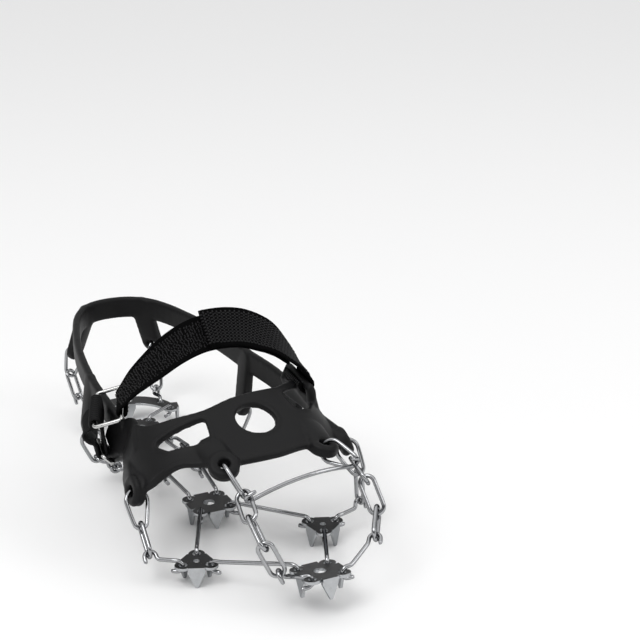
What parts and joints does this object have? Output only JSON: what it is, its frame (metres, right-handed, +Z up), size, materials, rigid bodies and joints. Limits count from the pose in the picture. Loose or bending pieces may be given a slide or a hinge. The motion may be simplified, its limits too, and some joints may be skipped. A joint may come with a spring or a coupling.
{
  "type": "ice cleat",
  "caption": "Chain ice cleat for the right foot: rubber toe panel and heel band, steel link chains, spiked steel plates under the sole and an instep strap.",
  "frame": {"origin": "on the floor under the middle of the whole cleat", "axes": "+Z up, toe towards -Y, heel towards +Y, outer side of the foot towards -X"},
  "size_m": [0.1238, 0.2924, 0.106],
  "materials": {
    "rubber": "matte",
    "hook_strap": "coarse weave",
    "pile_strap": "pile",
    "keeper_webbing": "ribbed weave",
    "wire_steel": "polished",
    "plate_steel": "brushed"
  },
  "bodies": {
    "harness": {"harness": "rubber", "keeper_webbing": "keeper_webbing"},
    "hook_strap": {"hook_strap": "hook_strap"},
    "pile_strap": {"pile_strap": "pile_strap"},
    "buckle_ring": {"buckle_ring": "wire_steel"},
    "anchor_ring": {"anchor_ring": "wire_steel"},
    "toe_plate": {"toe_plate": "plate_steel"},
    "outer_plate": {"outer_plate": "plate_steel"},
    "inner_plate": {"inner_plate": "plate_steel"},
    "ball_plate": {"ball_plate": "plate_steel"},
    "arch_plate": {"arch_plate": "plate_steel"},
    "heel_plate": {"heel_plate": "plate_steel"},
    "toe_link_outer": {"toe_link_outer": "wire_steel"},
    "toe_link_inner": {"toe_link_inner": "wire_steel"},
    "ball_link_outer": {"ball_link_outer": "wire_steel"},
    "ball_link_inner": {"ball_link_inner": "wire_steel"},
    "toe_spreader": {"toe_spreader": "wire_steel"},
    "side_loop_outer": {"side_loop_outer": "wire_steel"},
    "side_oval_outer": {"side_oval_outer": "wire_steel"},
    "side_hook_outer": {"side_hook_outer": "wire_steel"},
    "side_loop_inner": {"side_loop_inner": "wire_steel"},
    "side_oval_inner": {"side_oval_inner": "wire_steel"},
    "side_hook_inner": {"side_hook_inner": "wire_steel"},
    "toe_loop_outer": {"toe_loop_outer": "wire_steel"},
    "toe_oval_outer_1": {"toe_oval_outer_1": "wire_steel"},
    "toe_oval_outer_2": {"toe_oval_outer_2": "wire_steel"},
    "toe_oval_outer_3": {"toe_oval_outer_3": "wire_steel"},
    "toe_hook_outer": {"toe_hook_outer": "wire_steel"},
    "toe_loop_inner": {"toe_loop_inner": "wire_steel"},
    "toe_oval_inner_1": {"toe_oval_inner_1": "wire_steel"},
    "toe_oval_inner_2": {"toe_oval_inner_2": "wire_steel"},
    "toe_oval_inner_3": {"toe_oval_inner_3": "wire_steel"},
    "toe_hook_inner": {"toe_hook_inner": "wire_steel"},
    "mid_hook_outer": {"mid_hook_outer": "wire_steel"},
    "mid_oval_outer_1": {"mid_oval_outer_1": "wire_steel"},
    "mid_oval_outer_2": {"mid_oval_outer_2": "wire_steel"},
    "mid_oval_outer_3": {"mid_oval_outer_3": "wire_steel"},
    "arch_hook_outer": {"arch_hook_outer": "wire_steel"},
    "mid_hook_inner": {"mid_hook_inner": "wire_steel"},
    "mid_oval_inner_1": {"mid_oval_inner_1": "wire_steel"},
    "mid_oval_inner_2": {"mid_oval_inner_2": "wire_steel"},
    "mid_oval_inner_3": {"mid_oval_inner_3": "wire_steel"},
    "arch_hook_inner": {"arch_hook_inner": "wire_steel"},
    "ladder_outer_1": {"ladder_outer_1": "wire_steel"},
    "ladder_outer_2": {"ladder_outer_2": "wire_steel"},
    "ladder_end_outer": {"ladder_end_outer": "wire_steel"},
    "waist_ring_outer": {"waist_ring_outer": "wire_steel"},
    "ladder_inner_1": {"ladder_inner_1": "wire_steel"},
    "ladder_inner_2": {"ladder_inner_2": "wire_steel"},
    "ladder_end_inner": {"ladder_end_inner": "wire_steel"},
    "waist_ring_inner": {"waist_ring_inner": "wire_steel"},
    "heel_link_outer": {"heel_link_outer": "wire_steel"},
    "heel_link_inner": {"heel_link_inner": "wire_steel"},
    "heel_hook_outer": {"heel_hook_outer": "wire_steel"},
    "heel_oval_outer": {"heel_oval_outer": "wire_steel"},
    "heel_ring_outer": {"heel_ring_outer": "wire_steel"},
    "heel_hook_inner": {"heel_hook_inner": "wire_steel"},
    "heel_oval_inner": {"heel_oval_inner": "wire_steel"},
    "heel_ring_inner": {"heel_ring_inner": "wire_steel"}
  },
  "joints": [
    {"name": "hook_strap_open", "type": "hinge", "parent": "harness", "child": "hook_strap", "pos_m": [0.04497, -0.03317, 0.07064], "axis": [0.0622, 0.9946, 0.0828], "range_deg": [0, 100]},
    {"name": "buckle_swing", "type": "hinge", "parent": "harness", "child": "buckle_ring", "pos_m": [-0.05553, -0.00613, 0.06099], "axis": [0.36, 0.8899, 0.28], "range_deg": [0, 1.5]},
    {"name": "pile_strap_drop", "type": "hinge", "parent": "buckle_ring", "child": "pile_strap", "pos_m": [-0.04321, -0.01247, 0.06529], "axis": [0.36, 0.8899, 0.28], "range_deg": [0, 1.5]},
    {"name": "anchor_swing", "type": "hinge", "parent": "harness", "child": "anchor_ring", "pos_m": [-0.0499, -0.00912, 0.03668], "axis": [0.2103, 0.9751, -0.071], "range_deg": [-2, 2]},
    {"name": "toe_plate_rock", "type": "hinge", "parent": "harness", "child": "toe_plate", "pos_m": [0.0062, -0.1343, 0.01775], "axis": [1, 0, 0], "range_deg": [-2, 2]},
    {"name": "outer_plate_rock", "type": "hinge", "parent": "harness", "child": "outer_plate", "pos_m": [-0.03498, -0.08662, 0.00975], "axis": [1, 0, 0], "range_deg": [-2, 2]},
    {"name": "inner_plate_rock", "type": "hinge", "parent": "harness", "child": "inner_plate", "pos_m": [0.03538, -0.07908, 0.00975], "axis": [1, 0, 0], "range_deg": [-2, 2]},
    {"name": "ball_plate_rock", "type": "hinge", "parent": "harness", "child": "ball_plate", "pos_m": [-0.0058, -0.0313, 0.00975], "axis": [1, 0, 0], "range_deg": [-2, 2]},
    {"name": "arch_plate_rock", "type": "hinge", "parent": "harness", "child": "arch_plate", "pos_m": [-0.0033, 0.0772, 0.00975], "axis": [1, 0, 0], "range_deg": [-2, 2]},
    {"name": "heel_plate_rock", "type": "hinge", "parent": "harness", "child": "heel_plate", "pos_m": [0.00349, 0.12005, 0.00975], "axis": [1, 0, 0], "range_deg": [-2, 2]},
    {"name": "ladder_outer_1_fold", "type": "hinge", "parent": "harness", "child": "ladder_outer_1", "pos_m": [-0.01605, 0.03275, 0.00672], "axis": [0.0268, 0.9996, 0], "range_deg": [0, 3]},
    {"name": "ladder_outer_2_fold", "type": "hinge", "parent": "ladder_outer_1", "child": "ladder_outer_2", "pos_m": [-0.02549, 0.033, 0.00771], "axis": [0.0268, 0.9996, 0], "range_deg": [0, 3]},
    {"name": "ladder_end_outer_fold", "type": "hinge", "parent": "ladder_outer_2", "child": "ladder_end_outer", "pos_m": [-0.03453, 0.03324, 0.01065], "axis": [0.0268, 0.9996, 0], "range_deg": [0, 3]},
    {"name": "ladder_inner_1_fold", "type": "hinge", "parent": "harness", "child": "ladder_inner_1", "pos_m": [0.00995, 0.03265, 0.00672], "axis": [-0.0267, -0.9996, 0], "range_deg": [0, 3]},
    {"name": "ladder_inner_2_fold", "type": "hinge", "parent": "ladder_inner_1", "child": "ladder_inner_2", "pos_m": [0.01939, 0.0324, 0.00771], "axis": [-0.0267, -0.9996, 0], "range_deg": [0, 3]},
    {"name": "ladder_end_inner_fold", "type": "hinge", "parent": "ladder_inner_2", "child": "ladder_end_inner", "pos_m": [0.02843, 0.03216, 0.01065], "axis": [-0.0267, -0.9996, 0], "range_deg": [0, 3]},
    {"name": "toe_link_outer_roll", "type": "hinge", "parent": "harness", "child": "toe_link_outer", "pos_m": [-0.0013, -0.12689, 0.01658], "axis": [-0.6388, 0.7547, -0.1493], "range_deg": [-4, 4]},
    {"name": "toe_link_inner_roll", "type": "hinge", "parent": "harness", "child": "toe_link_inner", "pos_m": [0.0137, -0.12689, 0.01658], "axis": [0.4137, 0.8981, -0.1493], "range_deg": [-4, 4]},
    {"name": "ball_link_outer_roll", "type": "hinge", "parent": "harness", "child": "ball_link_outer", "pos_m": [-0.03221, -0.07986, 0.00975], "axis": [0.4184, 0.9083, 0], "range_deg": [-4, 4]},
    {"name": "ball_link_inner_roll", "type": "hinge", "parent": "harness", "child": "ball_link_inner", "pos_m": [0.03091, -0.0733, 0.00975], "axis": [-0.6461, 0.7633, 0], "range_deg": [-4, 4]},
    {"name": "toe_spreader_swing", "type": "hinge", "parent": "harness", "child": "toe_spreader", "pos_m": [-0.01524, -0.10654, 0.04767], "axis": [0.9941, 0.0614, 0.0891], "range_deg": [-4, 4]},
    {"name": "side_loop_outer_roll", "type": "hinge", "parent": "harness", "child": "side_loop_outer", "pos_m": [-0.05374, -0.05733, 0.03831], "axis": [-0.066, -0.5611, -0.8251], "range_deg": [-6, 6]},
    {"name": "side_oval_outer_roll", "type": "hinge", "parent": "harness", "child": "side_oval_outer", "pos_m": [-0.05486, -0.06686, 0.02428], "axis": [-0.0318, -0.7958, -0.6048], "range_deg": [-6, 6]},
    {"name": "side_hook_outer_roll", "type": "hinge", "parent": "harness", "child": "side_hook_outer", "pos_m": [-0.05534, -0.0788, 0.01521], "axis": [0.785, -0.5263, -0.3267], "range_deg": [-3, 3]},
    {"name": "side_loop_inner_roll", "type": "hinge", "parent": "harness", "child": "side_loop_inner", "pos_m": [0.05301, -0.06636, 0.04654], "axis": [0.3043, -0.426, -0.852], "range_deg": [-6, 6]},
    {"name": "side_oval_inner_roll", "type": "hinge", "parent": "harness", "child": "side_oval_inner", "pos_m": [0.05818, -0.07361, 0.03205], "axis": [-0.0317, -0.1899, -0.9813], "range_deg": [-6, 6]},
    {"name": "side_hook_inner_roll", "type": "hinge", "parent": "harness", "child": "side_hook_inner", "pos_m": [0.05771, -0.07646, 0.01733], "axis": [-0.8895, -0.0963, -0.4467], "range_deg": [-3, 3]},
    {"name": "toe_loop_outer_roll", "type": "hinge", "parent": "harness", "child": "toe_loop_outer", "pos_m": [-0.02005, -0.08692, 0.05617], "axis": [0.161, -0.8468, -0.5069], "range_deg": [-6, 6]},
    {"name": "toe_oval_outer_1_roll", "type": "hinge", "parent": "harness", "child": "toe_oval_outer_1", "pos_m": [-0.01731, -0.10132, 0.04755], "axis": [-0.127, -0.9019, -0.4129], "range_deg": [-6, 6]},
    {"name": "toe_oval_outer_2_roll", "type": "hinge", "parent": "harness", "child": "toe_oval_outer_2", "pos_m": [-0.01921, -0.11484, 0.04136], "axis": [0.0318, -0.8599, -0.5095], "range_deg": [-6, 6]},
    {"name": "toe_oval_outer_3_roll", "type": "hinge", "parent": "harness", "child": "toe_oval_outer_3", "pos_m": [-0.01874, -0.12774, 0.03371], "axis": [0.3952, -0.2305, -0.8892], "range_deg": [-6, 6]},
    {"name": "toe_hook_outer_roll", "type": "hinge", "parent": "harness", "child": "toe_hook_outer", "pos_m": [-0.01281, -0.1312, 0.02038], "axis": [0.7352, -0.6714, -0.0928], "range_deg": [-3, 3]},
    {"name": "toe_loop_inner_roll", "type": "hinge", "parent": "harness", "child": "toe_loop_inner", "pos_m": [0.03277, -0.08442, 0.05464], "axis": [0.5258, -0.8179, -0.2337], "range_deg": [-6, 6]},
    {"name": "toe_oval_inner_1_roll", "type": "hinge", "parent": "harness", "child": "toe_oval_inner_1", "pos_m": [0.0417, -0.09832, 0.05067], "axis": [-0.0503, -0.9742, -0.22], "range_deg": [-6, 6]},
    {"name": "toe_oval_inner_2_roll", "type": "hinge", "parent": "harness", "child": "toe_oval_inner_2", "pos_m": [0.04095, -0.11293, 0.04737], "axis": [0.101, -0.606, -0.7891], "range_deg": [-6, 6]},
    {"name": "toe_oval_inner_3_roll", "type": "hinge", "parent": "harness", "child": "toe_oval_inner_3", "pos_m": [0.04247, -0.12202, 0.03554], "axis": [-0.4921, -0.7382, -0.4614], "range_deg": [-6, 6]},
    {"name": "toe_hook_inner_roll", "type": "hinge", "parent": "harness", "child": "toe_hook_inner", "pos_m": [0.03508, -0.1331, 0.02862], "axis": [-0.8551, -0.3444, -0.3876], "range_deg": [-3, 3]},
    {"name": "mid_hook_outer_roll", "type": "hinge", "parent": "harness", "child": "mid_hook_outer", "pos_m": [-0.0133, -0.0238, 0.00975], "axis": [-0.0245, 0.9997, 0], "range_deg": [-3, 3]},
    {"name": "mid_oval_outer_1_roll", "type": "hinge", "parent": "harness", "child": "mid_oval_outer_1", "pos_m": [-0.01413, 0.01021, 0.00975], "axis": [-0.0245, 0.9997, 0], "range_deg": [-3, 3]},
    {"name": "mid_oval_outer_2_roll", "type": "hinge", "parent": "harness", "child": "mid_oval_outer_2", "pos_m": [-0.0145, 0.0252, 0.00975], "axis": [0.0267, 0.9996, 0], "range_deg": [-3, 3]},
    {"name": "mid_oval_outer_3_roll", "type": "hinge", "parent": "harness", "child": "mid_oval_outer_3", "pos_m": [-0.0141, 0.0402, 0.00975], "axis": [0.1111, 0.9938, 0], "range_deg": [-3, 3]},
    {"name": "arch_hook_outer_roll", "type": "hinge", "parent": "harness", "child": "arch_hook_outer", "pos_m": [-0.01243, 0.0551, 0.00975], "axis": [0.1111, 0.9938, 0], "range_deg": [-3, 3]},
    {"name": "mid_hook_inner_roll", "type": "hinge", "parent": "harness", "child": "mid_hook_inner", "pos_m": [0.0017, -0.0238, 0.00975], "axis": [0.1275, 0.9918, 0], "range_deg": [-3, 3]},
    {"name": "mid_oval_inner_1_roll", "type": "hinge", "parent": "harness", "child": "mid_oval_inner_1", "pos_m": [0.00609, 0.01033, 0.00975], "axis": [0.1275, 0.9918, 0], "range_deg": [-3, 3]},
    {"name": "mid_oval_inner_2_roll", "type": "hinge", "parent": "harness", "child": "mid_oval_inner_2", "pos_m": [0.008, 0.0252, 0.00975], "axis": [0.0267, 0.9996, 0], "range_deg": [-3, 3]},
    {"name": "mid_oval_inner_3_roll", "type": "hinge", "parent": "harness", "child": "mid_oval_inner_3", "pos_m": [0.0084, 0.0402, 0.00975], "axis": [-0.141, 0.99, 0], "range_deg": [-3, 3]},
    {"name": "arch_hook_inner_roll", "type": "hinge", "parent": "harness", "child": "arch_hook_inner", "pos_m": [0.00629, 0.05505, 0.00975], "axis": [-0.141, 0.99, 0], "range_deg": [-3, 3]},
    {"name": "waist_ring_outer_roll", "type": "hinge", "parent": "harness", "child": "waist_ring_outer", "pos_m": [-0.04323, 0.03347, 0.01652], "axis": [-0.2425, 0, 0.9701], "range_deg": [-6, 6]},
    {"name": "waist_ring_inner_roll", "type": "hinge", "parent": "harness", "child": "waist_ring_inner", "pos_m": [0.03713, 0.03193, 0.01652], "axis": [0.2425, 0, 0.9701], "range_deg": [-6, 6]},
    {"name": "heel_link_outer_roll", "type": "hinge", "parent": "harness", "child": "heel_link_outer", "pos_m": [-0.0108, 0.0847, 0.00975], "axis": [-0.4871, 0.8733, 0], "range_deg": [-4, 4]},
    {"name": "heel_link_inner_roll", "type": "hinge", "parent": "harness", "child": "heel_link_inner", "pos_m": [0.0042, 0.0847, 0.00975], "axis": [0.826, 0.5636, 0], "range_deg": [-4, 4]},
    {"name": "heel_hook_outer_roll", "type": "hinge", "parent": "harness", "child": "heel_hook_outer", "pos_m": [-0.01681, 0.11593, 0.00975], "axis": [-0.2311, 0.9705, 0.0693], "range_deg": [-3, 3]},
    {"name": "heel_oval_outer_roll", "type": "hinge", "parent": "harness", "child": "heel_oval_outer", "pos_m": [-0.02189, 0.13728, 0.01128], "axis": [-0.1573, 0.3776, 0.9125], "range_deg": [-6, 6]},
    {"name": "heel_ring_outer_roll", "type": "hinge", "parent": "harness", "child": "heel_ring_outer", "pos_m": [-0.02425, 0.14295, 0.02496], "axis": [0.1764, -0.2471, 0.9528], "range_deg": [-6, 6]},
    {"name": "heel_hook_inner_roll", "type": "hinge", "parent": "harness", "child": "heel_hook_inner", "pos_m": [0.02036, 0.10803, 0.00975], "axis": [0.2311, 0.9705, 0.0693], "range_deg": [-3, 3]},
    {"name": "heel_oval_inner_roll", "type": "hinge", "parent": "harness", "child": "heel_oval_inner", "pos_m": [0.02545, 0.12938, 0.01128], "axis": [0.1573, 0.3776, 0.9125], "range_deg": [-6, 6]},
    {"name": "heel_ring_inner_roll", "type": "hinge", "parent": "harness", "child": "heel_ring_inner", "pos_m": [0.02781, 0.13504, 0.02496], "axis": [-0.1764, -0.247, 0.9528], "range_deg": [-6, 6]}
  ]
}
